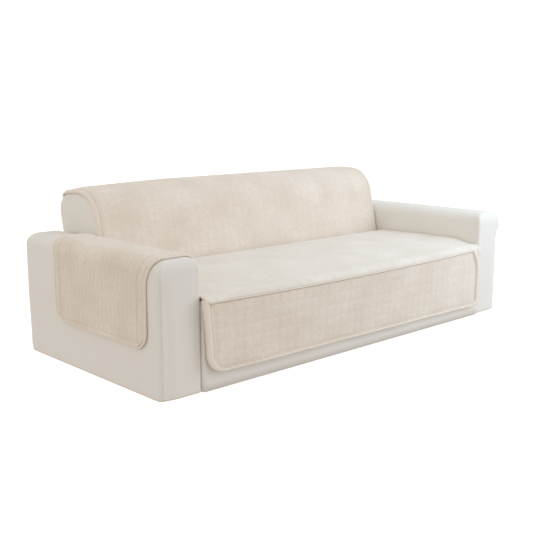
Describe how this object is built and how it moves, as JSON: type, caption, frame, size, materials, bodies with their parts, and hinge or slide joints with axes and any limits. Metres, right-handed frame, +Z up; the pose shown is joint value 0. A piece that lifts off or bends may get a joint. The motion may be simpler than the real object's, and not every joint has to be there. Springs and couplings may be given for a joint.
{
  "type": "sofa with quilted slipcover",
  "caption": "Long low sofa in a quilted slipcover: bound panels lie over an arm, the backrest and the seat, and a skirt hangs down the front.",
  "frame": {"origin": "middle of the whole part's footprint, on the floor", "axes": "+X to the sofa's right as seen from the front, -Y to the front of the seat, +Z up"},
  "size_m": [2.3285, 1.1346, 0.7545],
  "materials": {
    "sofa_arm_left": "smooth matt off-white upholstery",
    "sofa_arm_right": "smooth matt off-white upholstery",
    "sofa_seat": "smooth matt off-white upholstery",
    "sofa_backrest": "smooth matt off-white upholstery",
    "arm_panel": "soft matt quilted cloth",
    "arm_binding": "matt woven binding",
    "back_panel": "soft matt quilted cloth",
    "back_binding": "matt woven binding",
    "seat_panel": "soft matt quilted cloth",
    "seat_binding": "matt woven binding",
    "skirt_panel": "soft matt quilted cloth",
    "skirt_binding": "matt woven binding"
  },
  "bodies": {
    "root": {"sofa_arm_left": "sofa_arm_left", "sofa_arm_right": "sofa_arm_right", "sofa_seat": "sofa_seat", "sofa_backrest": "sofa_backrest", "arm_panel": "arm_panel", "arm_binding": "arm_binding", "back_panel": "back_panel", "back_binding": "back_binding", "seat_panel": "seat_panel", "seat_binding": "seat_binding", "skirt_panel": "skirt_panel", "skirt_binding": "skirt_binding"}
  },
  "joints": []
}
